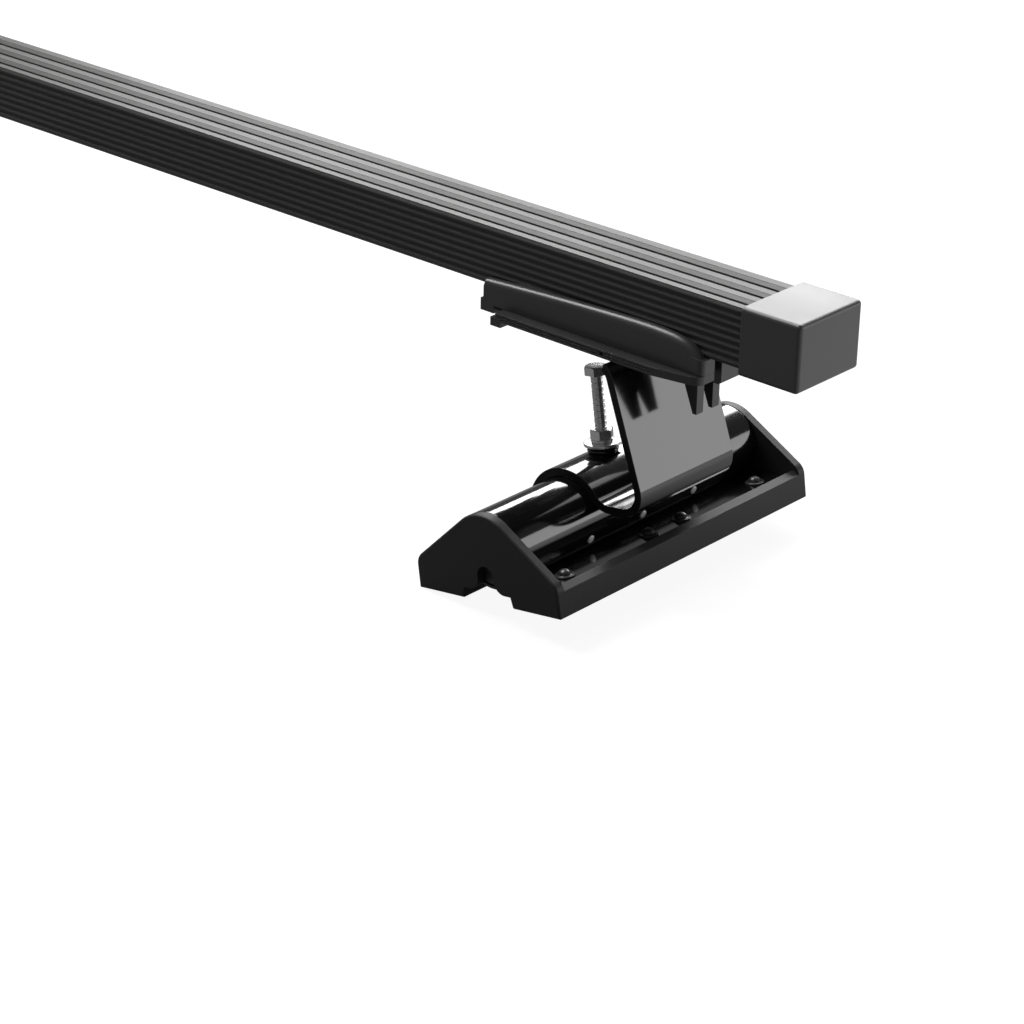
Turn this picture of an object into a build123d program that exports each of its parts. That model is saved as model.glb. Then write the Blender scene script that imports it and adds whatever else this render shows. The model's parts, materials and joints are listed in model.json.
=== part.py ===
from build123d import *
import math
import os

# Roof rack crossbar, in millimetres.
# X runs along the bar, Y along the car, Z up. The origin is under the middle of the bar,
# at the level of the lowest edges of the two foot pads.

# Bar: a slotted steel section inside a ribbed plastic sleeve
bar_length = 1200.0
sleeve_width = 40.0
sleeve_height = 28.6
core_width = 35.0
core_height = 24.0
core_wall = 1.5
core_corner = 2.0
side_ribs = 8
rib_depth = 0.7
groove_count = 3
groove_margin = 6.0
groove_pitch = 11.3
groove_width = 1.1
groove_depth = 1.3

# End caps
cap_width = 45.6
cap_height = 32.5
cap_overlap = 29.5
cap_end_wall = 3.0
cap_round = 2.0
cap_end_round = 1.8
cap_fit = 0.1
plug_depth = 15.0
plug_wall = 1.5
plug_fit = 0.3

# Where each foot stands, and how it leans
foot_inset = 116.0
foot_tilt = 8.9

# Foot pad, a rubber moulding; heights are above its underside
pad_width = 87.3
pad_length = 184.6
pad_floor = 9.5
pad_end_wall = 5.0
pad_side_wall = 3.7
pad_side_height = 14.5
pad_bevel = 30.0
pad_slope = 37.0
pad_crown_margin = 1.0
pad_corner = 7.0
pad_edge = 1.2
channel_width = 32.0
channel_depth = 5.6
channel_draft = 1.5
arch_slot_width = 10.0
arch_slot_height = 18.0
arch_slot_round = 6.0

# Swivel tube and the two strips that carry it
axis_height = 24.0
swivel_radius = 19.0
swivel_wall = 2.0
swivel_end_gap = 0.3
strip_gauge = 2.0
strip_side_gap = 0.3
pin_spots = (-38.0, 0.0, 38.0)
pin_angle = -24.0
pin_head_radius = 2.1
pin_head_height = 0.7
pin_shank_radius = 1.4
pin_head_round = 0.4
pin_fit = 0.05
plug_length = 9.0
plug_skin = 2.0
plug_clearance = 0.05
plug_sink = 0.6

# Rivets that hold the strips to the pad, each a dome on a flat rim
rivet_rim_radius = 4.8
rivet_rim_height = 0.8
rivet_dome_radius = 3.1
rivet_dome_height = 2.5
rivet_shank_radius = 2.5
rivet_grip = 4.0
rivet_fit = 0.05
rivet_inset = 14.5
rivet_spots = (-70.5, -10.5, 13.5, 70.5)

# Bracket, bent from one sheet that wraps over the swivel tube
bracket_gauge = 4.0
bracket_width = 68.0
swivel_gap = 0.25
arch_wrap = 15.0
arch_leave = 57.3
trough_radius = 8.0
trough_run = 8.8
trough_slope = 8.9
plate_lean = 20.4
lip_radius = 6.0
lip_turn = 47.0
bracket_rise = 82.95
tab_width = 40.0
tab_run = 44.0

# Rail under the bar, a flat steel bar with a forked outer end
rail_width = 62.0
rail_height = 4.0
rail_reach_out = 68.3
rail_reach_in = 50.0
rail_taper_length = 24.0
rail_taper = 4.3
rail_corner = 5.0
rail_groove = 0.5
rail_groove_levels = (1.4, 2.6)
rail_hole_radius = 1.0
rail_hole_place = 15.0
rail_lug_length = 6.3
rail_lug_width = 5.0
rail_lug_height = 4.3
rail_lug_drop = 2.8
rail_lug_overhang = 3.0

# Saddle, a moulded channel that the bar lies in
saddle_width = 50.0
saddle_floor = 7.4
saddle_lip = 2.7
saddle_ridge_radius = 2.0
saddle_reach_in = 63.0
saddle_nose_round = 3.0
saddle_nose_length = 30.0
saddle_nose_bow = (18.0, 2.0)
slide_gap = 0.1
side_gap = 0.2
saddle_lug_length = 8.4
saddle_lug_width = 5.0
saddle_lug_height = 6.1
saddle_lug_drop = 3.8
saddle_lug_overhang = 1.7
tongue_width = 20.8
tongue_length = 29.4
tongue_drop = 6.4
tongue_keel = 1.5
tongue_slit = 5.2
fin_thickness = 5.0
fin_places = (-4.3, 7.3)
fin_depth = 22.0
fin_setback = 15.9
fin_root = 11.5
fin_tip = 2.2

# Fasteners, all M6
screw_radius = 3.0
thread_fit = 0.05
screw_hole_fit = 0.3
hex_flats = 10.0
hex_head_height = 4.2
hex_nut_height = 5.0
hex_edge = (0.5, 0.9)
washer_radius = 6.0
washer_thickness = 1.6
wide_washer_radius = 9.0
spring_washer_radius = 5.4
spring_washer_thickness = 1.5
spring_washer_cut = 1.2
saddle_washer_height = 3.0
swivel_range = 10.0
swivel_bolt_length = 50.0
swivel_bolt_offset = -4.5
anchor_radius = 5.5
anchor_height = 5.0
slide_nut_width = 24.0
slide_nut_thickness = 6.0
slide_nut_length = 56.0
slide_nut_place = -20.0
rail_bolt_pitch = 28.0
rail_bolt_end = 1.0

# Levels and places that follow from the sizes above
tilt = math.radians(foot_tilt)
axis_x = bar_length / 2 - foot_inset
axis_z = pad_width / 2 * math.sin(tilt) + axis_height * math.cos(tilt)
saddle_base = bracket_rise + rail_height
bar_base = saddle_base + saddle_floor + slide_gap
bar_z = axis_z + bar_base + sleeve_height / 2
slot_width = 2 * (screw_radius + 2 * screw_hole_fit)
arch_inside = swivel_radius + swivel_gap
arch_outside = arch_inside + bracket_gauge
screw_hole_radius = screw_radius + screw_hole_fit
rail_bolt_places = [slide_nut_place + side * rail_bolt_pitch / 2 for side in (-1, 1)]

# The foot frame has its origin on the swivel axis and leans with the foot; the clamp
# frame has the same origin and stays level
clamp_frame = Pos(axis_x, 0, axis_z)
foot_frame = clamp_frame * Rot(0, -foot_tilt, 0)
sides = {"right": Rot(0, 0, 0), "left": Rot(0, 0, 180)}


def save(shape, name):
    export_step(shape, f"parts/{name}.step")


def save_both(shape, name):
    for side, turn in sides.items():
        save(turn * shape, f"{name}_{side}")


def rod(radius, low, high):
    return Pos(0, 0, (low + high) / 2) * Cylinder(radius, high - low)


def box_between(x, y, z):
    size = [high - low for low, high in (x, y, z)]
    centre = [(low + high) / 2 for low, high in (x, y, z)]
    return Pos(*centre) * Box(*size)


def along_y(face, width):
    return extrude(face, amount=width / 2, dir=(0, 1, 0), both=True)


def outline_xz(*points):
    return make_face(Polyline(*[(x, 0, z) for x, z in points], close=True))


def polar(centre, radius, degrees):
    angle = math.radians(degrees)
    return (centre[0] + radius * math.cos(angle), centre[1] + radius * math.sin(angle))


# A bent sheet seen edge on. The walk follows the middle of the sheet; a step is a
# straight run, or a bend with its inside radius and its angle, anticlockwise positive.
def walk_sheet(point, heading, steps, gauge):
    left, right = [], []
    for kind, *size in steps:
        faces = {1: left, -1: right}
        if kind == "run":
            end = polar(point, size[0], heading)
            for sign, edges in faces.items():
                corner = [polar(p, gauge / 2, heading + sign * 90) for p in (point, end)]
                edges.append(("line", corner))
            point = end
        else:
            inside, angle = size
            turn = 1 if angle > 0 else -1
            middle = inside + gauge / 2
            centre = polar(point, middle, heading + turn * 90)
            first = heading - turn * 90
            for sign, edges in faces.items():
                radius = middle - sign * turn * gauge / 2
                arc = [polar(centre, radius, first + share * angle) for share in (0, 0.5, 1)]
                edges.append(("arc", arc))
            point = polar(centre, middle, first + angle)
            heading += angle
    return point, heading, left, right


def sheet_face(left, right):
    def edge(kind, points):
        places = [Vector(x, 0, z) for x, z in points]
        return Edge.make_line(*places) if kind == "line" else Edge.make_three_point_arc(*places)

    back = [(kind, points[::-1]) for kind, points in reversed(right)]
    tip = ("line", [left[-1][1][-1], back[0][1][0]])
    root = ("line", [back[-1][1][-1], left[0][1][0]])
    return Face(Wire([edge(*part) for part in (*left, tip, *back, root)]))


def core_outline():
    return RectangleRounded(core_width, core_height, core_corner)


def bottom_slot(height, wall):
    return Pos(0, -height / 2 + wall / 2) * Rectangle(slot_width, 2 * wall)


def make_bar_core():
    inner = RectangleRounded(
        core_width - 2 * core_wall, core_height - 2 * core_wall, core_corner - core_wall
    )
    section = core_outline() - inner - bottom_slot(core_height, core_wall)
    return Pos(0, 0, bar_z) * extrude(Plane.YZ * section, bar_length / 2, both=True)


# Each long side of the sleeve is a row of shallow rounded ribs
def sleeve_outline():
    half_width, half_height = sleeve_width / 2, sleeve_height / 2
    pitch = sleeve_height / side_ribs
    valley = half_width - rib_depth
    edges = [Edge.make_line((-valley, half_height), (valley, half_height))]
    for sign in (1, -1):
        for i in range(side_ribs):
            top = sign * (half_height - i * pitch)
            ends = [(sign * valley, top), (sign * valley, top - sign * pitch)]
            crest = (sign * half_width, top - sign * pitch / 2)
            edges.append(Edge.make_three_point_arc(ends[0], crest, ends[1]))
        if sign == 1:
            edges.append(Edge.make_line((valley, -half_height), (-valley, -half_height)))
    return Face(Wire(edges))


def make_sleeve():
    section = Sketch() + sleeve_outline()
    section -= core_outline()
    section -= bottom_slot(sleeve_height, (sleeve_height - core_height) / 2)
    for i in range(groove_count):
        place = -sleeve_width / 2 + groove_margin + i * groove_pitch
        section -= Pos(place, sleeve_height / 2) * Rectangle(groove_width, 2 * groove_depth)
    return Pos(0, 0, bar_z) * extrude(Plane.YZ * section, bar_length / 2, both=True)


# The cap is a shell over the sleeve's end with a hollow plug inside the core
def make_cap():
    depth = cap_overlap + cap_end_wall
    shell = extrude(RectangleRounded(cap_width, cap_height, cap_round), depth)
    shell = fillet(shell.faces().sort_by(Axis.Z)[-1].edges(), cap_end_round)
    pocket = Box(sleeve_width + 2 * cap_fit, sleeve_height + 2 * cap_fit, 2 * cap_overlap)
    plug_width = core_width - 2 * (core_wall + plug_fit)
    plug_height = core_height - 2 * (core_wall + plug_fit)
    plug = Rectangle(plug_width, plug_height)
    plug -= Rectangle(plug_width - 2 * plug_wall, plug_height - 2 * plug_wall)
    plug = Pos(0, 0, cap_overlap - plug_depth) * extrude(plug, plug_depth)
    cap = shell - pocket + plug
    along = Plane(origin=(bar_length / 2 - cap_overlap, 0, bar_z), x_dir=(0, 1, 0), z_dir=(1, 0, 0))
    return along.location * cap


# Pad outline seen along the car: upright sides, sloped shoulders and a rounded crown
def pad_outline():
    half, base = pad_width / 2, -axis_height
    crown = swivel_radius + pad_crown_margin
    slope = math.radians(pad_slope)
    touch = (crown * math.sin(slope), crown * math.cos(slope) - pad_crown_margin)
    shoulder = touch[1] - (half - touch[0]) * math.tan(slope)
    edges = [
        Edge.make_line((-half, 0, base), (half, 0, base)),
        Edge.make_line((half, 0, base), (half, 0, shoulder)),
        Edge.make_line((half, 0, shoulder), (touch[0], 0, touch[1])),
        Edge.make_three_point_arc(
            (touch[0], 0, touch[1]), (0, 0, crown - pad_crown_margin), (-touch[0], 0, touch[1])
        ),
        Edge.make_line((-touch[0], 0, touch[1]), (-half, 0, shoulder)),
        Edge.make_line((-half, 0, shoulder), (-half, 0, base)),
    ]
    return Face(Wire(edges))


def pad_notch():
    base = -axis_height
    half = channel_width / 2
    wide = outline_xz(
        (-half, base - 1),
        (half, base - 1),
        (half - channel_draft, base + channel_depth),
        (channel_draft - half, base + channel_depth),
    )
    top = base + arch_slot_height - arch_slot_width / 2
    slot = outline_xz(
        (-arch_slot_width / 2, base),
        (arch_slot_width / 2, base),
        (arch_slot_width / 2, top),
        (-arch_slot_width / 2, top),
    )
    notch = along_y(wide, 2 * pad_length) + along_y(slot, 2 * pad_length)
    notch += Pos(0, 0, top) * Rot(90, 0, 0) * Cylinder(arch_slot_width / 2, 2 * pad_length)
    inner = [
        edge
        for edge in notch.edges().filter_by(Axis.Y)
        if abs(edge.center().Z - base - channel_depth) < 0.01
        and abs(abs(edge.center().X) - arch_slot_width / 2) < 0.01
    ]
    return fillet(inner, arch_slot_round)


def make_pad():
    half = pad_width / 2
    inside = pad_length - 2 * pad_end_wall
    floor_top = pad_floor - axis_height
    wall_top = pad_side_height - axis_height
    wall_inner = half - pad_side_wall
    pad = along_y(pad_outline(), pad_length)
    shoulders = [
        edge
        for edge in pad.edges().filter_by(Axis.Y)
        if abs(abs(edge.center().X) - half) < 0.01 and edge.center().Z > floor_top
    ]
    pad = fillet(shoulders, pad_corner)
    ends = pad.faces().filter_by(Axis.Y).edges()
    pad = fillet(ends, pad_edge)
    drop = 10 * math.tan(math.radians(pad_bevel))
    above = outline_xz(
        (wall_inner, wall_top),
        (wall_inner + 10, wall_top - drop),
        (wall_inner + 10, axis_height),
        (-wall_inner - 10, axis_height),
        (-wall_inner - 10, wall_top - drop),
        (-wall_inner, wall_top),
    )
    pad -= along_y(above, inside)
    pad -= box_between(
        (-wall_inner, wall_inner), (-inside / 2, inside / 2), (floor_top, axis_height)
    )
    channel = channel_width / 2 - channel_draft
    pad -= box_between((-channel, channel), (-inside / 2, inside / 2), (-axis_height, 0))
    pad -= pad_notch()
    for side in (-1, 1):
        for place in rivet_spots:
            hole = rod(rivet_shank_radius + rivet_fit, floor_top - rivet_grip, 0)
            pad -= Pos(side * (half - rivet_inset), place, 0) * hole
    return foot_frame * pad


def swivel_length():
    return pad_length - 2 * (pad_end_wall + swivel_end_gap)


# Small pins stand in a row along the outer flank of the tube
def on_flank(shape, place):
    return Pos(0, place, 0) * Rot(0, 90 - pin_angle, 0) * shape


def make_pins():
    head = rod(pin_head_radius, 0, swivel_radius + pin_head_height)
    head = chamfer(head.edges().sort_by(Axis.Z)[-1:], pin_head_round)
    pins = []
    for place in pin_spots:
        pin = on_flank(head, place) - Rot(90, 0, 0) * Cylinder(swivel_radius, pad_length)
        pin += on_flank(rod(pin_shank_radius, swivel_radius - swivel_wall, swivel_radius), place)
        pins.append(foot_frame * pin)
    return Compound(children=pins)


def make_swivel_tube():
    tube = Rot(90, 0, 0) * Cylinder(swivel_radius, swivel_length())
    tube -= Rot(90, 0, 0) * Cylinder(swivel_radius - swivel_wall, 2 * pad_length)
    tube -= Pos(0, swivel_bolt_offset, 0) * rod(screw_hole_radius, 0, axis_height)
    for place in pin_spots:
        tube -= on_flank(rod(pin_shank_radius + pin_fit, 0, axis_height), place)
    return foot_frame * tube


# A cup-shaped plug closes each end of the tube
def make_tube_plugs():
    radius = swivel_radius - swivel_wall - plug_clearance
    plug = rod(radius, -plug_length, 0) - rod(radius - plug_skin, -2 * plug_length, -plug_skin)
    end = swivel_length() / 2 - plug_sink
    plugs = [foot_frame * Pos(0, side * end, 0) * Rot(-90 * side, 0, 0) * plug for side in (-1, 1)]
    return Compound(children=plugs)


# A strip lies on the pad's floor, between the side wall and the flank of the tube
def make_strip(side):
    low = pad_floor - axis_height
    outer = pad_width / 2 - pad_side_wall - strip_side_gap
    length = swivel_length()
    strip = box_between((0, outer), (-length / 2, length / 2), (low, low + strip_gauge))
    strip -= Rot(90, 0, 0) * Cylinder(swivel_radius, 2 * pad_length)
    if side < 0:
        strip = Rot(0, 0, 180) * strip
    for place in rivet_spots:
        hole = rod(rivet_shank_radius + rivet_fit, low - 1, 0)
        strip -= Pos(side * (pad_width / 2 - rivet_inset), place, 0) * hole
    return foot_frame * strip


def make_rivets(side):
    seat = pad_floor - axis_height + strip_gauge
    ball = (rivet_dome_radius**2 + rivet_dome_height**2) / (2 * rivet_dome_height)
    dome = Pos(0, 0, rivet_rim_height + rivet_dome_height - ball) * Sphere(ball)
    dome &= rod(rivet_rim_radius, rivet_rim_height / 2, rivet_rim_height + rivet_dome_height)
    rivet = dome + rod(rivet_rim_radius, 0, rivet_rim_height)
    rivet += rod(rivet_shank_radius, -strip_gauge - rivet_grip, 0)
    place_u = side * (pad_width / 2 - rivet_inset)
    rivets = [foot_frame * Pos(place_u, place, seat) * rivet for place in rivet_spots]
    return Compound(children=rivets)


def bracket_path():
    mid = arch_inside + bracket_gauge / 2
    first = 180 + arch_wrap + foot_tilt
    arch_end = 90 - arch_leave + trough_slope
    to_plate = [
        ("bend", arch_inside, arch_end - first),
        ("bend", trough_radius, arch_leave),
        ("run", trough_run),
        ("bend", trough_radius, 90 - trough_slope + plate_lean),
    ]
    start = polar((0, 0), mid, first)
    point, heading, _, _ = walk_sheet(start, first - 90, to_plate, bracket_gauge)
    lip_mid = lip_radius + bracket_gauge / 2
    lip_gain = polar((0, 0), lip_mid, heading + 90)[1] + lip_radius + bracket_gauge
    plate_run = (bracket_rise - point[1] - lip_gain) / math.cos(math.radians(plate_lean))
    return start, first - 90, to_plate + [("run", plate_run)]


def make_bracket():
    start, heading, steps = bracket_path()
    lip = [("bend", lip_radius, lip_turn)]
    end, turned, left, right = walk_sheet(start, heading, steps + lip, bracket_gauge)
    bracket = along_y(sheet_face(left, right), bracket_width)
    rest = [("bend", lip_radius, 180 - turned), ("run", tab_run)]
    _, _, left, right = walk_sheet(end, turned, rest, bracket_gauge)
    bracket += along_y(sheet_face(left, right), tab_width)
    for place in rail_bolt_places:
        bracket -= Pos(place, 0, 0) * rod(screw_hole_radius, bracket_rise / 2, 2 * bracket_rise)
    bracket -= swivel_slot()
    return clamp_frame * bracket


# The slot over the crown of the arch, as long as the foot's swing needs
def swivel_slot():
    reach = (arch_inside / 2, 2 * arch_inside)
    wall = Pos(sum(reach) / 2, 0) * Rectangle(reach[1] - reach[0], 2 * screw_hole_radius)
    leans = (foot_tilt - swivel_range, foot_tilt + swivel_range)
    slot = Rot(0, -90 - leans[1], 0) * revolve(wall, Axis.Y, 2 * swivel_range)
    for lean in leans:
        slot += Rot(0, -lean, 0) * rod(screw_hole_radius, *reach)
    return Pos(0, swivel_bolt_offset, 0) * slot


def end_outline(half_width, inner, outer, corner, taper_length=0.0, taper=0.0):
    flank = [(inner, half_width), (outer, half_width - taper)]
    if taper_length > 0:
        flank.insert(1, (outer - taper_length, half_width))
    points = flank + [(x, -y) for x, y in reversed(flank)]
    face = make_face(Polyline(*points, close=True))
    tips = [v for v in face.vertices() if abs(v.X - outer) < 0.01]
    return fillet(tips, corner)


def make_rail():
    half = rail_width / 2
    top = bracket_rise + rail_height
    plan = end_outline(
        half, -rail_reach_in, rail_reach_out, rail_corner, rail_taper_length, rail_taper
    )
    rail = Pos(0, 0, bracket_rise) * extrude(plan, rail_height)
    fork = tongue_width / 2 + tongue_slit
    rail -= box_between(
        (rail_reach_out - tongue_length, 2 * rail_reach_out), (-fork, fork), (0, 2 * bracket_rise)
    )
    lug_low = bracket_rise - rail_lug_drop
    lug_in = -rail_reach_in - rail_lug_overhang
    for side in (-1, 1):
        for height in rail_groove_levels:
            level = bracket_rise + height
            run = (-2 * rail_reach_in, rail_reach_out - rail_taper_length)
            wide = sorted((side * (half - rail_groove), side * 2 * half))
            rail -= box_between(run, wide, (level - rail_groove / 2, level + rail_groove / 2))
        across = sorted((side * (half - rail_lug_width), side * half))
        rail += box_between(
            (lug_in, lug_in + rail_lug_length), across, (lug_low, lug_low + rail_lug_height)
        )
        hole = Rot(90, 0, 0) * Cylinder(rail_hole_radius, 6 * rail_hole_radius)
        rail -= Pos(rail_hole_place, side * half, bracket_rise + rail_height / 2) * hole
    for place in rail_bolt_places:
        rail -= Pos(place, 0, 0) * rod(screw_hole_radius, 0, 2 * top)
    return clamp_frame * rail


def saddle_section():
    half = saddle_width / 2
    inner = sleeve_width / 2 + side_gap
    top = saddle_floor + saddle_lip
    section = Pos(0, top / 2) * Rectangle(saddle_width, top)
    outer_tips = [v for v in section.vertices() if v.Y > top / 2]
    section = fillet(outer_tips, saddle_ridge_radius)
    return section - Pos(0, saddle_floor + half) * Rectangle(2 * inner, 2 * half)


# The nose drops from the ridge to the floor in one long curve
def nose_cut():
    start, end = rail_reach_out - saddle_nose_length, rail_reach_out
    low, high = saddle_base + saddle_floor, saddle_base + saddle_floor + saddle_lip
    bow = (start + saddle_nose_bow[0], low + saddle_nose_bow[1])
    edges = [
        Edge.make_three_point_arc((start, 0, high), (bow[0], 0, bow[1]), (end, 0, low)),
        Edge.make_line((end, 0, low), (2 * end, 0, low)),
        Edge.make_line((2 * end, 0, low), (2 * end, 0, 2 * high)),
        Edge.make_line((2 * end, 0, 2 * high), (start, 0, 2 * high)),
        Edge.make_line((start, 0, 2 * high), (start, 0, high)),
    ]
    return along_y(Face(Wire(edges)), 2 * saddle_width)


def make_fin():
    outer = rail_reach_out - fin_setback
    root, tip = saddle_base - tongue_drop, saddle_base - tongue_drop - fin_depth
    profile = outline_xz(
        (outer, root + 1), (outer, tip), (outer - fin_tip, tip), (outer - fin_root, root + 1)
    )
    return along_y(profile, fin_thickness)


def make_tongue(root):
    low = saddle_base - tongue_drop - tongue_keel
    half = tongue_width / 2
    tongue = box_between((root, rail_reach_out), (-half, half), (low, saddle_base + saddle_floor))
    tip = [
        edge
        for edge in tongue.edges().filter_by(Axis.Y)
        if edge.center().X > root + 1 and edge.center().Z < saddle_base
    ]
    return chamfer(tip, tongue_keel)


# The saddle has end lugs with a stop rib behind them that the rail's end rests against
def make_saddle():
    length = saddle_reach_in + rail_reach_out
    across = Plane(origin=(-saddle_reach_in, 0, saddle_base), x_dir=(0, 1, 0), z_dir=(1, 0, 0))
    saddle = extrude(across * saddle_section(), length)
    saddle -= nose_cut()
    plan = end_outline(
        saddle_width / 2, -2 * saddle_reach_in, rail_reach_out, saddle_nose_round
    )
    saddle &= extrude(plan, 2 * saddle_base)
    half_tongue = tongue_width / 2
    root = rail_reach_out - tongue_length
    lug_in = -saddle_reach_in - saddle_lug_overhang
    lug_end = lug_in + saddle_lug_length
    lug_low = saddle_base - saddle_lug_drop
    for side in (-1, 1):
        slit = sorted((side * half_tongue, side * (half_tongue + tongue_slit)))
        saddle -= box_between((root, 2 * rail_reach_out), slit, (0, 2 * saddle_base))
        wall = sorted((side * (saddle_width / 2 - saddle_lug_width), side * saddle_width / 2))
        saddle += box_between((lug_in, lug_end), wall, (lug_low, lug_low + saddle_lug_height))
    saddle += make_tongue(root + side_gap)
    saddle += box_between(
        (lug_in + saddle_lug_length / 2, -rail_reach_in - side_gap),
        (saddle_lug_width - saddle_width / 2, saddle_width / 2 - saddle_lug_width),
        (lug_low, saddle_base + saddle_floor / 2),
    )
    for place in fin_places:
        saddle += Pos(0, place, 0) * make_fin()
    for place in rail_bolt_places:
        saddle -= Pos(place, 0, 0) * rod(screw_hole_radius, 0, 2 * saddle_base)
    return clamp_frame * saddle


# Hexagons have their upper corners rounded off by a shallow cone
def hexagon(height):
    across_corners = hex_flats / math.cos(math.radians(30))
    prism = extrude(RegularPolygon(across_corners / 2, 6), height)
    rim = Cylinder(across_corners / 2, height, align=(Align.CENTER, Align.CENTER, Align.MIN))
    rim = chamfer(rim.edges().filter_by(GeomType.CIRCLE).sort_by(Axis.Z)[-1:], *hex_edge)
    return prism & rim


def ring(radius, hole, height):
    return rod(radius, 0, height) - rod(hole, -1, height + 1)


def slide_nut_base():
    return bar_base + (sleeve_height - core_height) / 2 + core_wall + slide_gap


def make_slide_nut():
    low = slide_nut_base()
    half = slide_nut_length / 2
    nut = box_between(
        (slide_nut_place - half, slide_nut_place + half),
        (-slide_nut_width / 2, slide_nut_width / 2),
        (low, low + slide_nut_thickness),
    )
    for place in rail_bolt_places:
        nut -= Pos(place, 0, 0) * rod(screw_radius + thread_fit, 0, 2 * low)
    return clamp_frame * nut


def rail_bolt_seat():
    return bracket_rise - bracket_gauge - washer_thickness


def make_rail_bolts():
    end = slide_nut_base() + slide_nut_thickness + rail_bolt_end
    seat = rail_bolt_seat()
    bolt = Pos(0, 0, seat) * Rot(180, 0, 0) * hexagon(hex_head_height) + rod(screw_radius, seat, end)
    return Compound(children=[clamp_frame * Pos(place, 0, 0) * bolt for place in rail_bolt_places])


def make_rail_washers():
    washer = Pos(0, 0, rail_bolt_seat()) * ring(washer_radius, screw_hole_radius, washer_thickness)
    return Compound(children=[clamp_frame * Pos(place, 0, 0) * washer for place in rail_bolt_places])


# The swivel stack stands over the crown of the arch, along the foot's own upright
def swivel_levels():
    washer = arch_outside + saddle_washer_height
    spring = washer + washer_thickness
    nut = spring + spring_washer_thickness
    return washer, spring, nut


def on_swivel(shape, level):
    return foot_frame * Pos(0, swivel_bolt_offset, level) * shape


def make_saddle_washer():
    height = saddle_washer_height + arch_outside
    washer = ring(wide_washer_radius, screw_radius + thread_fit, height)
    washer -= Rot(90, 0, 0) * Cylinder(arch_outside + swivel_gap, 4 * wide_washer_radius)
    return on_swivel(washer, 0)


def make_wide_washer():
    washer = ring(wide_washer_radius, screw_radius + thread_fit, washer_thickness)
    return on_swivel(washer, swivel_levels()[0])


def make_spring_washer():
    washer = ring(spring_washer_radius, screw_radius + thread_fit, spring_washer_thickness)
    reach = 2 * spring_washer_radius
    washer -= box_between((0, reach), (0, spring_washer_cut), (-1, reach))
    return on_swivel(washer, swivel_levels()[1])


def make_lock_nut():
    nut = hexagon(hex_nut_height) - rod(screw_radius + thread_fit, -1, 2 * hex_nut_height)
    return on_swivel(nut, swivel_levels()[2])


def anchor_top():
    return swivel_radius - swivel_wall


def make_anchor_nut():
    top = anchor_top()
    boss = rod(anchor_radius, top - anchor_height, 2 * top)
    boss &= Pos(0, -swivel_bolt_offset, 0) * Rot(90, 0, 0) * Cylinder(top, pad_length)
    boss -= rod(screw_radius + thread_fit, 0, 2 * top)
    return on_swivel(boss, 0)


def make_swivel_bolt():
    end = anchor_top() - anchor_height - rail_bolt_end
    head = end + swivel_bolt_length
    bolt = rod(screw_radius, end, head) + Pos(0, 0, head) * hexagon(hex_head_height)
    return on_swivel(bolt, 0)


os.makedirs("parts", exist_ok=True)
save(make_bar_core(), "bar_core")
save(make_sleeve(), "bar_sleeve")
save_both(make_cap(), "end_cap")
save_both(make_saddle(), "saddle")
save_both(make_rail(), "rail")
save_both(make_bracket(), "bracket")
save_both(make_slide_nut(), "slide_nut")
save_both(make_rail_bolts(), "rail_bolts")
save_both(make_rail_washers(), "rail_washers")
save_both(make_pad(), "foot_pad")
save_both(make_swivel_tube(), "swivel_tube")
save_both(make_pins(), "tube_pins")
save_both(make_tube_plugs(), "tube_plugs")
save_both(make_strip(1), "outer_strip")
save_both(make_strip(-1), "inner_strip")
save_both(make_rivets(1), "outer_rivets")
save_both(make_rivets(-1), "inner_rivets")
save_both(make_anchor_nut(), "anchor_nut")
save_both(make_swivel_bolt(), "swivel_bolt")
save_both(make_saddle_washer(), "saddle_washer")
save_both(make_wide_washer(), "wide_washer")
save_both(make_spring_washer(), "spring_washer")
save_both(make_lock_nut(), "lock_nut")
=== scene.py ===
import json
import math

import bmesh
import bpy
from mathutils import Matrix, Vector


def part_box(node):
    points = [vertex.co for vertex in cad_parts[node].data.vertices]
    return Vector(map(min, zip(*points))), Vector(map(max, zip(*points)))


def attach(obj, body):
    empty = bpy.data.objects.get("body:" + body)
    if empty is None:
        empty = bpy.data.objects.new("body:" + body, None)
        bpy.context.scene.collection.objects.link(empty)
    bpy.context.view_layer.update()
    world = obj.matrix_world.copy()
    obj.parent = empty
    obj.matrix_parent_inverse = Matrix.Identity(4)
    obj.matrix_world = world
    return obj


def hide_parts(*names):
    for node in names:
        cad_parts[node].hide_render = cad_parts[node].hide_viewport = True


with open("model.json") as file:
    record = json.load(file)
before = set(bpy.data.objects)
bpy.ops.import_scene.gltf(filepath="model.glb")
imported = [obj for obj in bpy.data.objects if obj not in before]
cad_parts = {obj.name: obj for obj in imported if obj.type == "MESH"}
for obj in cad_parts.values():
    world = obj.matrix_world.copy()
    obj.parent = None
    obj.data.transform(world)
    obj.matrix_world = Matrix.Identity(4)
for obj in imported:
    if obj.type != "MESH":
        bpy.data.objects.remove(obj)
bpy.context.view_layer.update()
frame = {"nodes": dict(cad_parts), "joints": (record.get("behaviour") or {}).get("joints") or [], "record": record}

mm = 0.001
sides = {"right": 0.0, "left": math.pi}  # the left foot is the right one turned half round
smoothAngles = dict(plain=35.0, turned=40.0, sleeve=32.0, sheet=60.0, rivets=50.0, hexagon=20.0)
record = frame["record"]
print("frame loaded:", len(frame["nodes"]), "nodes")


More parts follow.
